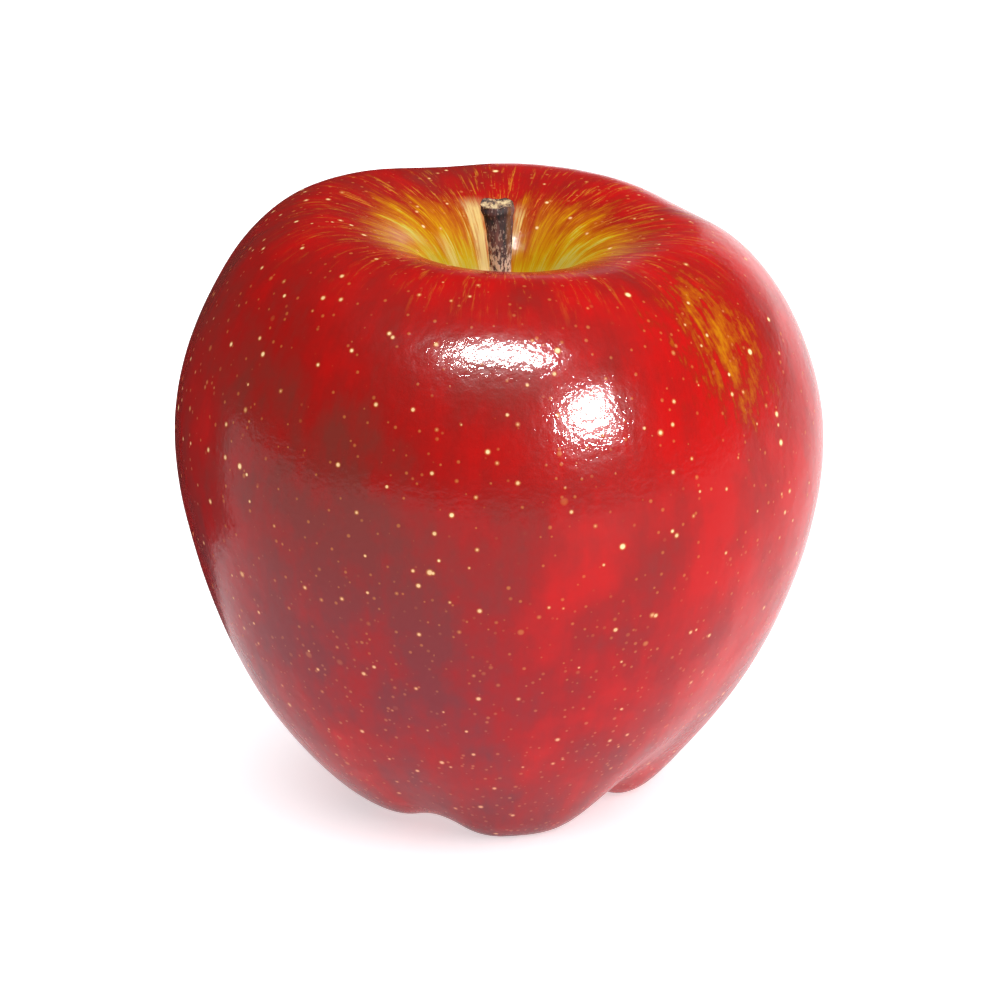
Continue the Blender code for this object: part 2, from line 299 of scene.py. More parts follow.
# ---- Camera and light
CAMERA_ELEVATION = 21
CAMERA_DISTANCE = 0.65
CAMERA_LENS = 199
AIM = (0.0, 0.0, 0.0357)  # half-way up the fruit
Softbox = namedtuple("Softbox", "name azimuth elevation distance width height radiance")
SOFTBOXES = (
    Softbox("front_softbox", 0, 58, 0.90, 0.52, 0.14, 260),
    Softbox("side_softbox", 37, 27, 0.90, 0.26, 0.17, 260),
    Softbox("rim_card", 150, 8, 1.00, 0.70, 0.40, 1.0),
)
# Broad lights that colour the fruit and the floor but leave no highlight in the wax.
Broad = namedtuple("Broad", "name azimuth elevation strength spread")
BROAD_LIGHTS = (
    Broad("key_light", 80, 36, 0.95, 60),
    Broad("overhead_light", 45, 82, 3.5, 90),
)
HORIZON_STRENGTH = 0.70  # of the studio to the right of the table, which fades upwards
HORIZON_TOP = 0.28  # where it has faded, as the Z of a unit heading
STUDIO_STRENGTH = 0.12
DARK_SIDE_SHARE = 0.06  # what is left of it at the left, where the heap of apples was
DARK_SIDE_SPAN = (-0.70, 0.35)  # from darkest to full, as the X of a unit heading
FLOOR_SIZE = 40
FLOOR_GLOW = 0.60  # the paper's own light, as the photo's white has almost no shadow
BACKDROP_STRENGTH = 0.97
# Black cards that darken the reflections at the left, as the neighbouring apples did.
Flag = namedtuple("Flag", "name place size target")
FLAGS = (
    Flag("standing_flag", (-0.052, 0.055, 0.080), (0.14, 0.16), (0.0, 0.0, 0.080)),
    Flag("lying_flag", (-0.088, 0.112, 0.004), (0.165, 0.175), (-0.088, 0.112, 1.0)),
)

# ======================================================================================
# Shape of the skin
# ======================================================================================

def rings_between(first, last, curve):
    """The rings of a curve given as shares of the way from the first ring to the last."""
    rings = []
    for shares in curve:
        values = [a + (b - a) * share for a, b, share in zip(first, last, shares)]
        rings.append(Ring(*values))
    return rings


def skin_rings():
    """All rings of the skin, from the throat of the stem cavity down and in to the eye."""
    named = (THROAT, CREST, WIDEST, FOOT, EYE)
    curves = (CAVITY_CURVE, SHOULDER_CURVE, FLANK_CURVE, BASIN_CURVE)
    rings = [THROAT]
    for first, last, curve in zip(named, named[1:], curves):
        rings += rings_between(first, last, curve)
        rings.append(last)
    return np.array(rings)


def second_derivatives(knots, values):
    """Second derivatives of the natural cubic spline through the values at the knots."""
    steps = np.diff(knots)
    system = np.eye(len(knots))
    wanted = np.zeros_like(values)
    for i in range(1, len(knots) - 1):
        before, after = steps[i - 1], steps[i]
        system[i, i - 1 : i + 2] = before, 2 * (before + after), after
        rise_after = (values[i + 1] - values[i]) / after
        rise_before = (values[i] - values[i - 1]) / before
        wanted[i] = 6 * (rise_after - rise_before)
    return np.linalg.solve(system, wanted)


def smooth_rings(positions):
    """Ring values and length along the skin, at positions counted in rings."""
    rings = skin_rings()
    spans = np.hypot(np.diff(rings[:, 0]), np.diff(rings[:, 1]))
    knots = np.concatenate(([0.0], np.cumsum(spans)))
    bends = second_derivatives(knots, rings)
    along = np.interp(positions, np.arange(len(rings)), knots)
    i = np.clip(np.searchsorted(knots, along, side="right") - 1, 0, len(spans) - 1)
    span = spans[i][:, None]
    b = (along - knots[i])[:, None] / span
    a = 1 - b
    curved = ((a**3 - a) * bends[i] + (b**3 - b) * bends[i + 1]) * span**2 / 6
    return a * rings[i] + b * rings[i + 1] + curved, along


def lobe_shares(azimuths):
    """How much of the full crest_out and crest_rise the skin has at each azimuth."""
    out = np.zeros_like(azimuths)
    rise = np.zeros_like(azimuths)
    for lobe in LOBES:
        offset = (azimuths - radians(lobe.azimuth) + pi) % (2 * pi) - pi
        share = np.minimum(np.abs(offset) / radians(lobe.half_width), 1.0)
        swell = 1 - np.sin(share * pi / 2) ** (2 * LOBE_FULLNESS)
        out += lobe.out * swell
        rise += lobe.rise * swell
    return out, rise


def leaned(radius, azimuth, height):
    """Points round the fruit's axis, which leans, with shoulders that tilt."""
    x = radius * np.sin(azimuth)
    y = -radius * np.cos(azimuth)
    z = height + TILT * x * height / CREST_HEIGHT
    x = x + LEAN * height
    return np.stack(np.broadcast_arrays(x, y, z), axis=-1)


def skin_grid():
    """Points of the fine skin, row by row, and for each its length along the skin."""
    row_count = (len(skin_rings()) - 1) * SKIN_ROWS_PER_RING + 1
    rings, along = smooth_rings(np.arange(row_count) / SKIN_ROWS_PER_RING)
    azimuths = np.arange(SKIN_COLUMNS) * 2 * pi / SKIN_COLUMNS
    out, rise = lobe_shares(azimuths)
    radii = rings[:, 0:1] + rings[:, 2:3] * out
    heights = rings[:, 1:2] + rings[:, 3:4] * rise
    return leaned(radii, azimuths, heights), along, azimuths


# The solids are centred on the middle of the fruit's box, so these pieces move the same way.
grid_points, grid_along, grid_azimuths = skin_grid()
skin_middle = (grid_points.min(axis=(0, 1)) + grid_points.max(axis=(0, 1))) / 2
CENTRE_SHIFT = Vector((-skin_middle[0], -skin_middle[1], 0.0))


# ======================================================================================
# Mesh helpers
# ======================================================================================

def bell(value, middle, reach):
    """A smooth bump that is 1 at the middle and fades to 0 past its reach."""
    return np.exp(-(((value - middle) / reach) ** 2))


def grid_faces(rows, columns):
    """Quads between neighbouring rows of a grid that closes on itself round its columns."""
    faces = []
    for row in range(rows - 1):
        for column in range(columns):
            after = (column + 1) % columns
            low = row * columns
            high = low + columns
            faces.append((low + column, high + column, high + after, low + after))
    return faces


def closed_tube(points):
    """Vertices and faces of a closed body from rows of rings, each end closed by a fan."""
    rows, columns = points.shape[:2]
    verts = [Vector(p) for p in points.reshape(-1, 3)]
    faces = grid_faces(rows, columns)
    start = len(verts)
    verts.append(Vector(points[0].mean(axis=0)))
    verts.append(Vector(points[-1].mean(axis=0)))
    last = (rows - 1) * columns
    for column in range(columns):
        after = (column + 1) % columns
        faces.append((start, column, after))
        faces.append((start + 1, last + after, last + column))
    return verts, faces


def add_piece(name, verts, faces, replaced):
    """A smooth mesh piece that rides on the root body and stands for a CAD node."""
    data = bpy.data.meshes.new(name)
    data.from_pydata([v + CENTRE_SHIFT for v in verts], [], faces)
    data.validate()
    data.shade_smooth()
    piece = bpy.data.objects.new(name, data)
    bpy.context.scene.collection.objects.link(piece)
    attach(piece, "root")
    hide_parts(replaced)
    return piece


def store(data, name, kind, values):
    """Keeps a value for each vertex, for the materials to read."""
    field = {"FLOAT": "value", "FLOAT_VECTOR": "vector"}[kind]
    attribute = data.attributes.new(name, kind, "POINT")
    attribute.data.foreach_set(field, np.asarray(values, dtype=np.float32).ravel())


# ======================================================================================
# Node helpers
# ======================================================================================

class Nodes:
    """Short ways to add shader nodes to one tree; each returns an output socket."""

    def __init__(self, tree):
        self.tree = tree

    def add(self, kind, inputs, output=0, **settings):
        made = self.tree.nodes.new(kind)
        for name, value in settings.items():
            setattr(made, name, value)
        for key, value in inputs.items():
            if isinstance(value, bpy.types.NodeSocket):
                self.tree.links.new(value, made.inputs[key])
            else:
                made.inputs[key].default_value = value
        return made.outputs[output]

    def math(self, operation, a, b=0.0):
        return self.add("ShaderNodeMath", {0: a, 1: b}, operation=operation)

    def fit(self, value, low, high, out_low=0.0, out_high=1.0, curve="SMOOTHSTEP"):
        """The value's place between low and high, smoothly, as a share of out_low to out_high."""
        places = {"Value": value, 1: low, 2: high, 3: out_low, 4: out_high}
        return self.add("ShaderNodeMapRange", places, interpolation_type=curve)

    def line(self, value, low, high, out_low=0.0, out_high=1.0):
        """As fit, but on a straight line."""
        return self.fit(value, low, high, out_low, out_high, "LINEAR")

    def attribute(self, name, output="Fac"):
        return self.add("ShaderNodeAttribute", {}, output, attribute_name=name)

    def scaled(self, vector, scale):
        return self.add("ShaderNodeVectorMath", {0: vector, 1: scale}, operation="MULTIPLY")

    def noise(self, vector, grain):
        """Noise of a Grain, whose scale is one number or one for each axis."""
        scale = grain.scale
        if isinstance(scale, tuple):
            vector = self.scaled(vector, scale)
            scale = 1.0
        inputs = {
            "Vector": vector,
            "Scale": scale,
            "Detail": grain.detail,
            "Roughness": grain.roughness,
        }
        return self.add("ShaderNodeTexNoise", inputs, "Fac")

    def cells(self, vector, scale, output="Distance"):
        return self.add("ShaderNodeTexVoronoi", {"Vector": vector, "Scale": scale}, output)

    def mix(self, share, a, b, blend="MIX"):
        """Colour b over colour a by the share."""
        inputs = {0: share, 6: a, 7: b}
        return self.add("ShaderNodeMix", inputs, 2, data_type="RGBA", blend_type=blend)

    def ramp(self, value, stops):
        """A colour ramp through (place, colour) stops."""
        made = self.tree.nodes.new("ShaderNodeValToRGB")
        ramp = made.color_ramp
        while len(ramp.elements) < len(stops):
            ramp.elements.new(0.5)
        for element, (place, colour) in zip(ramp.elements, stops):
            element.position = place
            element.color = (*colour, 1.0)
        self.tree.links.new(value, made.inputs[0])
        return made.outputs[0]

    def split(self, vector):
        """The X, Y and Z outputs of a vector or colour."""
        made = self.tree.nodes.new("ShaderNodeSeparateXYZ")
        self.tree.links.new(vector, made.inputs[0])
        return made.outputs

    def centred(self, value, spread):
        """A noise value of about 0.5 turned into one about 0, with the given spread."""
        return self.math("MULTIPLY", self.math("SUBTRACT", value, 0.5), spread)

    def distance(self, vector, point):
        """How far the vector is from a fixed point."""
        return self.add("ShaderNodeVectorMath", {0: vector, 1: point}, "Value", operation="DISTANCE")

    def dot(self, vector, direction):
        """How far the vector reaches along a direction."""
        return self.add(
            "ShaderNodeVectorMath", {0: vector, 1: direction}, "Value", operation="DOT_PRODUCT"
        )

    def grey(self, value):
        """A value as a grey colour."""
        return self.add("ShaderNodeCombineXYZ", {0: value, 1: value, 2: value})

    def bump(self, height, strength, distance):
        inputs = {"Height": height, "Strength": strength, "Distance": distance}
        return self.add("ShaderNodeBump", inputs)


def new_material(name):
    """A node material and its helper; the Principled shader is made by the caller."""
    made = bpy.data.materials.new(name)
    made.use_nodes = True
    tree = made.node_tree
    tree.nodes.clear()
    return made, Nodes(tree)


def finish_material(nodes, **inputs):
    """Ends the tree in a Principled shader with these inputs, underscores for spaces."""
    named = {key.replace("_", " "): value for key, value in inputs.items()}
    shader = nodes.add("ShaderNodeBsdfPrincipled", named)
    output = nodes.tree.nodes.new("ShaderNodeOutputMaterial")
    nodes.tree.links.new(shader, output.inputs["Surface"])


# ======================================================================================
# Fruit
# ======================================================================================

class SkinFields:
    """What the skin's colours read: where a point is, and the streaks that run outwards."""

    def __init__(self, n):
        self.place = n.add("ShaderNodeTexCoord", {}, "Object")
        self.course = n.attribute("course", "Vector")
        self.along = n.attribute("along")
        self.fine = n.noise(self.course, FINE_STREAKS)
        self.broad = n.noise(self.course, BROAD_STREAKS)
        self.low = n.fit(self.along, *LENTICELS_SHRINK)


def ripeness_share(n, skin):
    """From 0, yellow-green at the foot of the stem, to 1 and over, full red.

    The yellow reaches further out at the two sides of the cavity, in fine ragged streaks.
    """
    sides = n.math("ABSOLUTE", n.split(skin.course)["X"])
    edge = n.line(sides, 0.2, 1.0, 0.0, 0.45)
    rise = n.line(skin.along, *RIPENING, -0.05, 1.15)
    streaks = n.math("ADD", n.centred(skin.fine, 2.0), n.centred(skin.broad, 1.9))
    streaks = n.math("MULTIPLY", streaks, n.fit(skin.along, *STREAKS_GROW, 0.1, 1.0))
    ripeness = n.math("SUBTRACT", n.math("ADD", rise, streaks), edge)
    ripeness = n.math("ADD", ripeness, n.fit(skin.along, *RIPE, 0.0, 1.4))
    ripeness = n.math("MINIMUM", ripeness, FULL_RIPENESS)
    return n.math("SUBTRACT", ripeness, blush_share(n, skin))


def blush_share(n, skin):
    """A paler, yellow-orange blush high on the right shoulder."""
    away = n.distance(n.scaled(skin.place, BLUSH_STRETCH), BLUSH_PLACE)
    ragged = n.centred(n.noise(skin.course, BLUSH_STREAKS), 2.4)
    speckled = n.centred(n.noise(skin.place, BLUSH_SPECKLES), 1.2)
    blush = n.line(away, 0.0, BLUSH_REACH, 1.15, -0.8)
    blush = n.math("ADD", blush, n.math("ADD", ragged, speckled))
    return n.fit(blush, 0.0, 1.5, 0.0, 0.84)


def full_red(n, skin):
    """Long soft mottles; painted light and shade, darker away from the lit side; and a bluer red
    further down, a painted reflection of the floor.
    """
    mottles = n.math("MULTIPLY", n.noise(skin.course, LONG_MOTTLES), 0.42)
    fine_mottles = n.math("MULTIPLY", n.noise(skin.course, FINE_MOTTLES), 0.12)
    clouds = n.math("MULTIPLY", n.noise(skin.place, CLOUDS), 0.46)
    # Painted light and shade: the red is brighter towards the lit side and darker away from it.
    sun = n.line(n.dot(skin.place, PAINTED_LIGHT_SIDE), 0.005, 0.055, -0.08, 0.08)
    deep = n.fit(n.distance(skin.place, DEEP_PLACE), 0.0, DEEP_REACH, 0.11, 0.0)
    tone = n.math("ADD", n.math("ADD", mottles, fine_mottles), clouds)
    tone = n.math("SUBTRACT", n.math("ADD", tone, sun), deep)
    red = n.ramp(tone, RED_COLOURS)
    # A painted reflection of the floor: a bluer red that comes in lower down.
    floor_tinted_red = n.mix(1.0, red, FLOOR_REFLECTION_TINT, "MULTIPLY")
    return n.mix(n.fit(skin.along, *FLOOR_REFLECTION_GROWS), red, floor_tinted_red)


def with_painted_highlights(n, skin, colour):
    """Ragged pale bands up the wall of the stem cavity, painted highlights on its ridges."""
    for band in PAINTED_HIGHLIGHT_BANDS:
        heading = (sin(radians(band.azimuth)), -cos(radians(band.azimuth)), 0.0)
        off = n.distance(n.scaled(skin.course, (1, 1, 0)), heading)
        off = n.math("ADD", off, n.centred(skin.fine, 0.55))
        begun = n.fit(skin.along, band.start, band.start + BAND_FADE)
        ended = n.fit(skin.along, band.end - BAND_FADE, band.end, 1.0, 0.0)
        # Each band is a painted highlight.
        pale = n.math("MULTIPLY", n.fit(off, 0.0, band.reach, band.strength, 0.0), begun)
        colour = n.mix(n.math("MULTIPLY", pale, ended), colour, PAINTED_HIGHLIGHT_COLOUR)
    return colour


def with_basin(n, skin, colour):
    """Under the fruit the basin turns orange, and yellow-green round the eye."""
    ragged = n.math("ADD", skin.along, n.centred(skin.fine, 0.008))
    basin = n.line(ragged, *BASIN_YELLOWS)
    return n.mix(n.fit(basin, 0.0, 0.5), colour, n.ramp(basin, BASIN_COLOURS))


def dot_share(n, place, dots):
    """Round dots scattered over the skin, some larger than others."""
    distance = n.cells(place, 1 / dots.spacing)
    luck = n.split(n.cells(place, 1 / dots.spacing, "Color"))
    full_size = dots.radius / dots.spacing
    size = n.line(luck["X"], 0.0, 1.0, 0.6 * full_size, 1.15 * full_size)
    dot = n.fit(n.math("DIVIDE", distance, size), 0.35, 1.0, 1.0, 0.0)
    kept = n.fit(luck["Y"], dots.share - 0.15, dots.share, 1.0, 0.0)
    return n.math("MULTIPLY", dot, kept)


def lenticel_share(n, skin):
    """Lenticels: large and few high up, small and many low down."""
    high = n.math("SUBTRACT", 1.0, skin.low)
    large = n.math("MULTIPLY", dot_share(n, skin.place, LARGE_DOTS), high)
    medium = n.math("MULTIPLY", dot_share(n, skin.place, MEDIUM_DOTS), 0.8)
    small = dot_share(n, skin.place, SMALL_DOTS)
    dense = n.math("MULTIPLY", dot_share(n, skin.place, DENSE_DOTS), skin.low)
    bright = n.math("MAXIMUM", large, medium)
    faint = n.math("MULTIPLY", n.math("MAXIMUM", small, dense), 0.45)
    outside = n.fit(skin.along, *LENTICELS_BEGIN)
    return n.math("MULTIPLY", n.math("MAXIMUM", bright, faint), outside)


def with_lenticels(n, skin, colour, lenticels):
    """Each lenticel has a pale core in an orange halo."""
    halo = n.mix(skin.low, HIGH_HALO_COLOUR, LOW_HALO_COLOUR)
    core = n.mix(skin.low, HIGH_CORE_COLOUR, LOW_CORE_COLOUR)
    colour = n.mix(lenticels, colour, halo)
    return n.mix(n.fit(lenticels, 0.45, 1.0), colour, core)


def with_dashes(n, skin, colour):
    """Thin pale dashes run outwards over the shoulders."""
    dashes = n.math("MULTIPLY", n.fit(skin.fine, 0.53, 0.65), n.fit(skin.broad, 0.38, 0.54))
    dashes = n.math("MULTIPLY", dashes, n.fit(skin.along, *DASHES_BEGIN))
    dashes = n.math("MULTIPLY", dashes, n.fit(skin.along, *DASHES_END, 1.0, 0.0))
    return n.mix(n.math("MULTIPLY", dashes, 0.8), colour, DASH_COLOUR)


def skin_relief(n, skin, lenticels):
    """Fine grain over wider waves, with the lenticels slightly raised."""
    grain = n.math("MULTIPLY", n.noise(skin.place, SKIN_GRAIN), 0.35)
    relief = n.math("ADD", grain, n.noise(skin.place, SKIN_WAVES))
    return n.math("ADD", relief, n.math("MULTIPLY", lenticels, 0.25))


def skin_material():
    """Red skin under a clear wax coat, which has a fine ripple of its own."""
    made, n = new_material("apple_skin")
    skin = SkinFields(n)
    ripeness = ripeness_share(n, skin)
    lenticels = lenticel_share(n, skin)
    ground = n.ramp(ripeness, GROUND_COLOURS)
    colour = n.mix(n.fit(ripeness, 0.78, 1.20), ground, full_red(n, skin))
    colour = with_painted_highlights(n, skin, colour)
    colour = with_basin(n, skin, colour)
    colour = with_lenticels(n, skin, colour, lenticels)
    colour = with_dashes(n, skin, colour)
    finish_material(
        n,
        Base_Color=colour,
        Roughness=n.math("ADD", 0.26, n.math("MULTIPLY", lenticels, 0.3)),
        Specular_IOR_Level=0.04,
        Coat_Weight=n.fit(skin.along, *WAX_THICKENS, 0.05, 0.22),
        Coat_Roughness=0.05,
        Normal=n.bump(skin_relief(n, skin, lenticels), 0.55, 0.0002),
        Coat_Normal=n.bump(n.noise(skin.place, WAX_RIPPLE), 0.38, 0.0002),
    )
    return made


def dented(data):
    """Presses shallow dents into the skin, and keeps it from going below the ground."""
    normals = [vertex.normal.copy() for vertex in data.vertices]
    for vertex, normal in zip(data.vertices, normals):
        place = vertex.co.copy()
        pressed = sum(depth * noise.noise(place / width) for width, depth in DENTS)
        place += normal * pressed
        place.z = max(place.z, 0.0)
        vertex.co = place


def add_fruit():
    """The fruit's skin, closed by the floors of the stem socket and of the calyx tube."""
    socket_rows = np.linspace(SOCKET_FLOOR_HEIGHT, THROAT.height, POCKET_ROWS + 1)[:-1]
    tube_rows = np.linspace(EYE.height, TUBE_FLOOR_HEIGHT, POCKET_ROWS + 1)[1:]
    socket = [leaned(SOCKET_RADIUS, grid_azimuths, height) for height in socket_rows]
    tube = [leaned(EYE_RADIUS, grid_azimuths, height) for height in tube_rows]
    points = np.concatenate([socket, grid_points, tube])
    eye_along = grid_along[-1]
    along = np.concatenate([np.zeros(POCKET_ROWS), grid_along, np.full(POCKET_ROWS, eye_along)])
    verts, faces = closed_tube(points)
    fruit = add_piece("apple_skin", verts, faces, "fruit")

    along_each = np.append(np.repeat(along, SKIN_COLUMNS), (0.0, eye_along))
    azimuths = np.append(np.tile(grid_azimuths, len(along)), (0.0, 0.0))
    course = np.stack([np.sin(azimuths), -np.cos(azimuths), along_each], axis=1)
    store(fruit.data, "along", "FLOAT", along_each)
    store(fruit.data, "course", "FLOAT_VECTOR", course)
    dented(fruit.data)
    fruit.data.materials.append(skin_material())


# ======================================================================================
# Stem
# ======================================================================================

def stem_section(share):
    """Centre and radius of the stem at a share of its length above the socket."""
    grown = max(share, 0.0)
    flare = (STEM_TOP_RADIUS - STEM_MIDDLE_RADIUS) * grown**STEM_FLARE_POWER
    radius = STEM_BASE_RADIUS + (STEM_MIDDLE_RADIUS - STEM_BASE_RADIUS) * grown + flare
    centre = Vector(leaned(0.0, 0.0, THROAT.height + STEM_LENGTH * share))
    centre.x += STEM_SWAY[0] * grown**STEM_SWAY_POWER + STEM_FLARE_LEAN * flare
    centre.y += STEM_SWAY[1] * grown**STEM_SWAY_POWER
    return centre, radius


def bark_noise(relief, around, height, shift=0.0):
    """Noise of about -1 to 1 for one kind of relief in the bark."""
    place = (around.x * relief.turns, around.y * relief.turns, height / relief.length + shift)
    return noise.noise(Vector(place))


def bark_relief(around, height):
    """How far the bark stands out, as a share of the radius: ridges, wrinkles and warts."""
    ridges = BARK_RIDGES.share * bark_noise(BARK_RIDGES, around, height)
    wrinkles = BARK_WRINKLES.share * bark_noise(BARK_WRINKLES, around, height)
    warts = max(bark_noise(BARK_WARTS, around, height, 40) - WART_THRESHOLD, 0.0)
    return ridges + wrinkles + BARK_WARTS.share * warts - BARK_INSET


def splinters(kind, spot, shift=(0, 0, 0)):
    """How high splinters of one kind stand at a spot of the broken end."""
    height, width = kind
    return height * noise.noise(spot / width + Vector(shift))


def stem_bark_ring(share, arounds, edge_drops):
    """The ring of the bark at a share of the stem's length, swollen near the top."""
    centre, radius = stem_section(share)
    collar = COLLAR_SWELL * bell(share, COLLAR_PLACE, COLLAR_REACH)
    ring = []
    for around, drop in zip(arounds, edge_drops):
        out = radius * (1 + collar + bark_relief(around, share * STEM_LENGTH))
        lift = drop * max(share, 0.0) ** 12
        ring.append(centre + around * out + Vector((0, 0, lift)))
    return ring


def stem_end_ring(inward, arounds, edge_drops):
    """A ring of the broken end; inward runs from 1 at its rim to 0 in its middle."""
    top, radius = stem_section(1.0)
    dish = -BREAK_DISH * (1 - inward**4)
    ring = []
    for around, drop in zip(arounds, edge_drops):
        spot = around * inward * radius
        broken = splinters(COARSE_SPLINTERS, spot, (1, 9, 4)) + splinters(FINE_SPLINTERS, spot)
        lift = drop * inward + dish + broken * min(1.0, 4 * (1 - inward))
        ring.append(top + spot * (1 + BREAK_LIP * inward) + Vector((0, 0, lift)))
    return ring


def add_stem():
    """The stem: ridged bark with a swollen collar, and a rough end where it broke off."""
    foot = -(SOCKET_DEPTH - SEAT_GAP) / STEM_LENGTH
    arounds = []
    edge_drops = []
    for column in range(STEM_COLUMNS):
        azimuth = 2 * pi * column / STEM_COLUMNS
        around = Vector((sin(azimuth), -cos(azimuth), 0.0))
        unevenness = noise.noise(around * BREAK_TURNS + Vector((7, 3, 0))) - 0.3
        arounds.append(around)
        edge_drops.append(BREAK_UNEVENNESS * unevenness)
    bark_shares = [foot + (1 - foot) * row / (STEM_ROWS - 1) for row in range(STEM_ROWS)]
    points = [stem_bark_ring(share, arounds, edge_drops) for share in bark_shares]
    for row in range(1, END_ROWS):
        points.append(stem_end_ring(1 - row / END_ROWS, arounds, edge_drops))
    verts, faces = closed_tube(np.array(points))
    stem = add_piece("dried_stem", verts, faces, "stem")

    shares = bark_shares + [1.0] * (END_ROWS - 1)
    cut = [0.0] * STEM_ROWS + [1.0] * (END_ROWS - 1)
    store(stem.data, "rise", "FLOAT", np.append(np.repeat(shares, STEM_COLUMNS), (foot, 1.0)))
    store(stem.data, "cut", "FLOAT", np.append(np.repeat(cut, STEM_COLUMNS), (0.0, 1.0)))
    stem.data.materials.append(bark_material())


def bark_colour(n, place, rise, fibres, fleck_noise):
    """Dark red-brown fibres, pale flecks that thin out upwards, and one orange stripe."""
    amount = n.line(rise, *FLECKS_THIN, 0.05, -0.10)
    flecks = n.fit(n.math("ADD", fleck_noise, amount), 0.49, 0.55)
    colour = n.mix(flecks, n.ramp(fibres, BARK_COLOURS), FLECK_COLOUR)
    stripe = n.distance(n.scaled(place, STRIPE_STRETCH), STRIPE_PLACE)
    stripe = n.math("ADD", stripe, n.centred(fibres, 0.0006))
    colour = n.mix(n.fit(stripe, 0.0004, 0.0008, 0.85, 0.0), colour, STRIPE_COLOUR)
    dusk = n.fit(rise, *BARK_DARKENS, 1.0, 0.45)
    return n.mix(1.0, colour, n.grey(dusk), "MULTIPLY")


def bark_material():
    """Bark that darkens towards the collar, and cream wood on the broken end."""
    made, n = new_material("stem_bark")
    place = n.add("ShaderNodeTexCoord", {}, "Object")
    fibres = n.noise(place, BARK_FIBRES)
    fleck_noise = n.noise(place, BARK_FLECKS)
    bark = bark_colour(n, place, n.attribute("rise"), fibres, fleck_noise)
    wood = n.ramp(n.noise(place, PITH), WOOD_COLOURS)
    relief = n.math("ADD", fibres, n.math("MULTIPLY", fleck_noise, 0.6))
    finish_material(
        n,
        Base_Color=n.mix(n.fit(n.attribute("cut"), 0.2, 0.8), bark, wood),
        Roughness=n.line(fibres, 0.3, 0.7, 0.62, 0.9),
        Specular_IOR_Level=0.15,
        Normal=n.bump(relief, 0.7, 0.00015),
    )
    return made


# ======================================================================================
# Calyx
# ======================================================================================

def dried_material(name, grain, colours):
    """Dry brown tissue with fibres along it and grey down on its ridges."""
    made, n = new_material(name)
    place = n.add("ShaderNodeTexCoord", {}, "Object")
    fibres = n.noise(place, grain)
    down = n.noise(place, DOWN)
    colour = n.mix(n.fit(down, 0.56, 0.70, 0.0, 0.6), n.ramp(fibres, colours), DOWN_COLOUR)
    finish_material(
        n,
        Base_Color=colour,
        Roughness=n.line(down, 0.3, 0.7, 0.95, 0.75),
        Specular_IOR_Level=0.3,
        Sheen_Weight=0.25,
        Sheen_Roughness=0.5,
        Normal=n.bump(fibres, 0.6, 0.0001),
    )
    return made


def sepal_section(share, curl):
    """Radius, height and heading of a sepal's middle at a share of its length."""
    steps = max(1, round(share * SEPAL_ROWS))
    step = SEPAL_LENGTH * share / steps
    radius = SEPAL_ROOT_RADIUS
    height = EYE.height + SEPAL_INSET
    heading = 0.0
    for i in range(steps):
        past_neck = step * (i + 0.5) - SEPAL_NECK
        heading = radians(curl) * max(0.0, past_neck) / (SEPAL_LENGTH - SEPAL_NECK)
        radius += step * sin(heading)
        height -= step * cos(heading)
    return radius, height, heading


def sepal_ring(number, share):
    """One ring round a sepal's blade, at a share of its length."""
    radius, height, heading = sepal_section(share, SEPAL_CURLS[number])
    middle = radians(FIRST_SEPAL_AZIMUTH + 360 * number / len(SEPAL_CURLS))
    width = SEPAL_WIDTH * (1 - (1 - SEPAL_TIP_SHARE) * share**2)
    thickness = SEPAL_THICKNESS * (1 - SEPAL_THINNING * share)
    free = min(1.0, share * 2)
    ring = []
    for column in range(SEPAL_COLUMNS):
        turn = 2 * pi * column / SEPAL_COLUMNS
        across = cos(turn)
        edge_noise = noise.noise(Vector((share * 9, across, number * 5.0)))
        ragged = 1 + SEPAL_RAGGEDNESS * free * edge_noise
        wrinkle = noise.noise(Vector((across * 2.2, share * 6, number * 3.0 + 11)))
        rib = SEPAL_RIB * bell(across, 0.0, SEPAL_RIB_REACH) * (sin(turn) > 0)
        through = thickness / 2 * sin(turn) + free * SEPAL_WRINKLE * wrinkle + rib
        through -= free * SEPAL_CUP * across**2
        place = radius - through * cos(heading)
        azimuth = middle + across * width * ragged / 2 / radius
        ring.append(leaned(place, azimuth, height - through * sin(heading)))
    return ring


def add_sepal(number, finish):
    """One sepal: a wrinkled blade with a raised midrib and a ragged, curling tip."""
    points = [sepal_ring(number, row / SEPAL_ROWS) for row in range(SEPAL_ROWS + 1)]
    verts, faces = closed_tube(np.array(points))
    label = f"sepal_{number + 1}"
    sepal = add_piece(f"dried_{label}", verts, faces, label)
    sepal.data.materials.append(finish)


def thread_tube(centres, radii, seed):
    """Vertices and faces of a dried thread along its centres, slightly crumpled."""
    points = []
    for row, (centre, radius) in enumerate(zip(centres, radii)):
        ring = []
        for column in range(STAMEN_COLUMNS):
            turn = 2 * pi * column / STAMEN_COLUMNS
            crumple = noise.noise(Vector((cos(turn), sin(turn), row * 0.35 + seed)))
            out = radius * (1 + THREAD_CRUMPLE * crumple)
            ring.append((centre[0] + out * sin(turn), centre[1] - out * cos(turn), centre[2]))
        points.append(ring)
    return closed_tube(np.array(points))


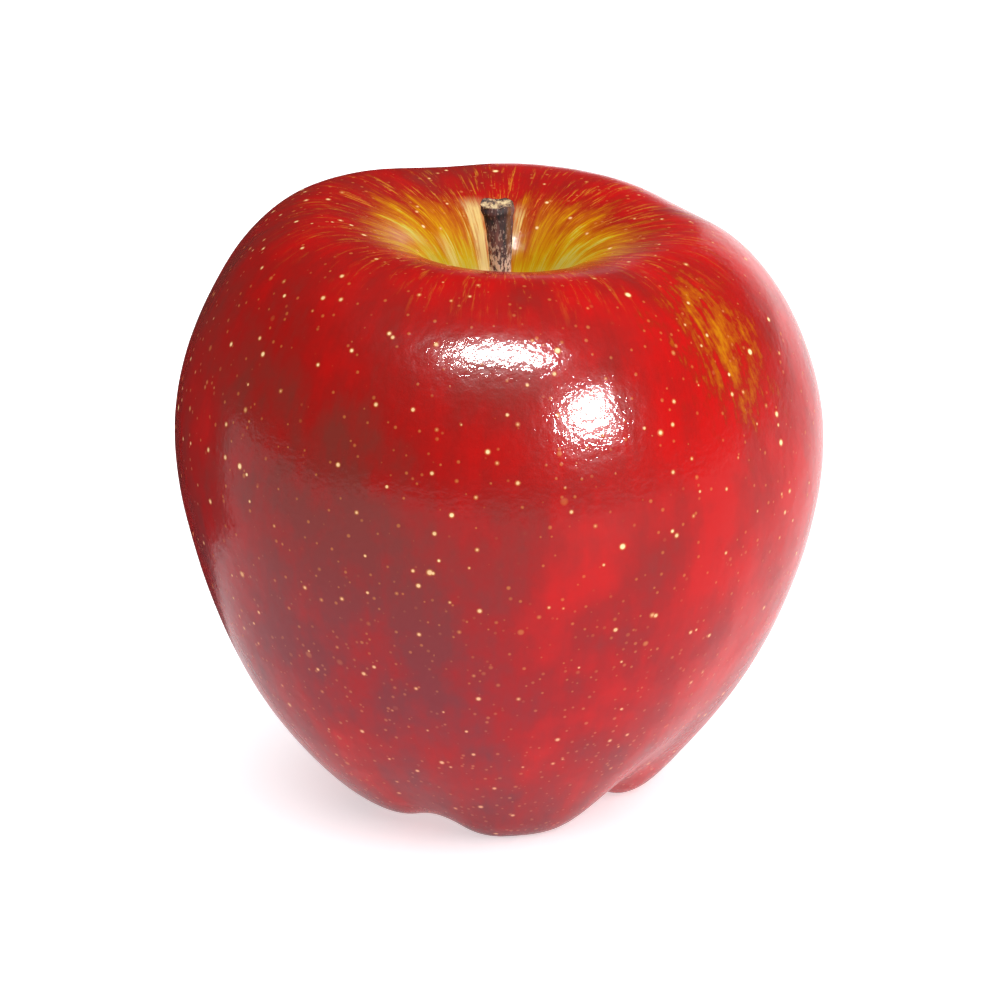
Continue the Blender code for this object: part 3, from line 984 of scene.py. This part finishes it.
def add_stamen(number, finish):
    """One stamen: a crooked thread with a shrivelled anther at its tip."""
    azimuth = 2 * pi * number / STAMEN_COUNT
    length = STAMEN_LENGTHS[number % len(STAMEN_LENGTHS)]
    centres = []
    radii = []
    for row in range(STAMEN_ROWS + 1):
        share = row / STAMEN_ROWS
        drawn_in = STAMEN_WAIST * sin(pi * share) + (ANTHER_RADIUS - STAMEN_RADIUS) * share
        crook = STAMEN_CROOK * share * noise.noise(Vector((share * 4, number * 3.7, 2.0)))
        radius = STAMEN_RING_RADIUS - drawn_in + crook
        height = TUBE_FLOOR_HEIGHT - SEAT_GAP - length * share
        centres.append(leaned(radius, azimuth + crook / radius, height))
        anther = (ANTHER_RADIUS - STAMEN_RADIUS) * bell(share, ANTHER_PLACE, ANTHER_REACH)
        past_anther = max(0.0, (share - ANTHER_TIP_START) / (1 - ANTHER_TIP_START))
        tip = 1 - ANTHER_TIP_SHRINK * past_anther
        radii.append((STAMEN_RADIUS * (1 - STAMEN_TAPER * share) + anther) * tip)
    verts, faces = thread_tube(centres, radii, number * 2.3)
    label = f"stamen_{number + 1}"
    stamen = add_piece(f"dried_{label}", verts, faces, label)
    stamen.data.materials.append(finish)


def style_strand(strand):
    """Vertices and faces of one style, which winds away from the others to its knob."""
    length = STYLES_LENGTH * (1 - STYLE_SHORTENING * strand)
    centres = []
    radii = []
    for row in range(STAMEN_ROWS + 1):
        share = row / STAMEN_ROWS
        turn = 2 * pi * strand / STYLE_STRANDS + STYLE_TWIST * share
        spread = 0.45 * STYLES_RADIUS + 0.8 * (STYLES_TIP_RADIUS - STYLES_RADIUS) * share**2
        centres.append(leaned(spread, turn, TUBE_FLOOR_HEIGHT - SEAT_GAP - length * share))
        knob = STYLE_KNOB * bell(share, STYLE_KNOB_PLACE, STYLE_KNOB_REACH)
        radii.append(0.5 * STYLES_RADIUS * (1 - STYLE_TAPER * share) + knob)
    return thread_tube(centres, radii, strand * 1.9 + 50)


def add_styles(finish):
    """The five styles: strands that leave one foot together and part at their tips."""
    verts = []
    faces = []
    for strand in range(STYLE_STRANDS):
        more_verts, more_faces = style_strand(strand)
        faces += [tuple(i + len(verts) for i in face) for face in more_faces]
        verts += more_verts
    styles = add_piece("dried_styles", verts, faces, "styles")
    styles.data.materials.append(finish)


def add_calyx():
    """The dried flower in the eye: sepals, stamens and styles."""
    leaf = dried_material("dried_sepal", SEPAL_FIBRES, SEPAL_COLOURS)
    thread = dried_material("dried_stamen", STAMEN_FIBRES, STAMEN_COLOURS)
    for number in range(len(SEPAL_CURLS)):
        add_sepal(number, leaf)
    for number in range(STAMEN_COUNT):
        add_stamen(number, thread)
    add_styles(thread)


# ======================================================================================
# Stage
# ======================================================================================

def add_floor():
    """White paper that glows faintly, so that shadows on it stay soft and light."""
    bpy.ops.mesh.primitive_plane_add(size=FLOOR_SIZE)
    floor = bpy.context.object
    floor.name = "floor"
    made, n = new_material("floor_paper")
    place = n.add("ShaderNodeTexCoord", {}, "Object")
    finish_material(
        n,
        Base_Color=n.ramp(n.noise(place, PAPER), PAPER_COLOURS),
        Roughness=0.7,
        Specular_IOR_Level=0.2,
        Emission_Color=PAPER_GLOW_COLOUR,
        Emission_Strength=FLOOR_GLOW,
    )
    floor.data.materials.append(made)


def add_flag(flag, finish):
    """A black card that only reflections see; it takes no light and casts no shadow."""
    bpy.ops.mesh.primitive_plane_add(size=1, location=flag.place)
    card = bpy.context.object
    card.name = flag.name
    card.scale = (*flag.size, 1.0)
    aim(card, flag.target)
    card.data.materials.append(finish)
    card.visible_camera = False
    card.visible_diffuse = False
    card.visible_shadow = False


def black_card_material():
    made, n = new_material("black_card")
    finish_material(n, Base_Color=BLACK_CARD_COLOUR, Roughness=0.9, Specular_IOR_Level=0.1)
    return made


def aim(thing, target):
    """Turns a light or camera to face the target."""
    thing.rotation_euler = (Vector(target) - thing.location).to_track_quat("-Z", "Y").to_euler()


def direction(azimuth, elevation):
    """The unit vector towards an azimuth and elevation in degrees."""
    flat = cos(radians(elevation))
    x = flat * sin(radians(azimuth))
    y = -flat * cos(radians(azimuth))
    return Vector((x, y, sin(radians(elevation))))


def add_camera():
    lens = bpy.data.cameras.new("camera")
    lens.lens = CAMERA_LENS
    lens.clip_start = 0.01
    camera = bpy.data.objects.new("camera", lens)
    bpy.context.scene.collection.objects.link(camera)
    camera.location = Vector(AIM) + CAMERA_DISTANCE * direction(0, CAMERA_ELEVATION)
    aim(camera, AIM)
    bpy.context.scene.camera = camera


def add_softbox(box):
    """A lamp that shows as a highlight in the wax, and adds no light of its own elsewhere."""
    data = bpy.data.lights.new(box.name, "AREA")
    data.shape = "RECTANGLE"
    data.size = box.width
    data.size_y = box.height
    data.energy = box.radiance * pi * box.width * box.height
    lamp = bpy.data.objects.new(box.name, data)
    bpy.context.scene.collection.objects.link(lamp)
    lamp.location = Vector(AIM) + box.distance * direction(box.azimuth, box.elevation)
    aim(lamp, AIM)
    lamp.visible_camera = False
    lamp.visible_diffuse = False


def add_broad_light(light):
    """A wide sun, which reflections don't see."""
    data = bpy.data.lights.new(light.name, "SUN")
    data.energy = light.strength
    data.angle = radians(light.spread)
    lamp = bpy.data.objects.new(light.name, data)
    bpy.context.scene.collection.objects.link(lamp)
    lamp.location = Vector(AIM) + direction(light.azimuth, light.elevation)
    aim(lamp, AIM)
    lamp.visible_glossy = False


def add_world():
    """A plain pale backdrop to the camera, and to all else a dim studio.

    The studio is lightest near the table, and darker at the left.
    """
    world = bpy.data.worlds.new("studio")
    bpy.context.scene.world = world
    world.use_nodes = True
    n = Nodes(world.node_tree)
    n.tree.nodes.clear()
    heading = n.split(n.add("ShaderNodeTexCoord", {}, "Generated"))
    studio = n.fit(heading["Z"], 0.0, HORIZON_TOP, HORIZON_STRENGTH, STUDIO_STRENGTH)
    side_share = n.fit(heading["X"], *DARK_SIDE_SPAN, DARK_SIDE_SHARE, 1.0)
    studio = n.math("MULTIPLY", studio, side_share)
    seen = n.add("ShaderNodeLightPath", {}, "Is Camera Ray")
    strength = n.add("ShaderNodeMix", {0: seen, 2: studio, 3: BACKDROP_STRENGTH}, 0)
    light = {"Color": STUDIO_COLOUR, "Strength": strength}
    background = n.add("ShaderNodeBackground", light)
    output = n.tree.nodes.new("ShaderNodeOutputWorld")
    n.tree.links.new(background, output.inputs["Surface"])


add_camera()
add_world()
for light in BROAD_LIGHTS:
    add_broad_light(light)
for softbox in SOFTBOXES:
    add_softbox(softbox)
add_floor()
black_card = black_card_material()
for flag in FLAGS:
    add_flag(flag, black_card)
add_fruit()
add_stem()
add_calyx()

bpy.context.scene.view_settings.view_transform = "Standard"
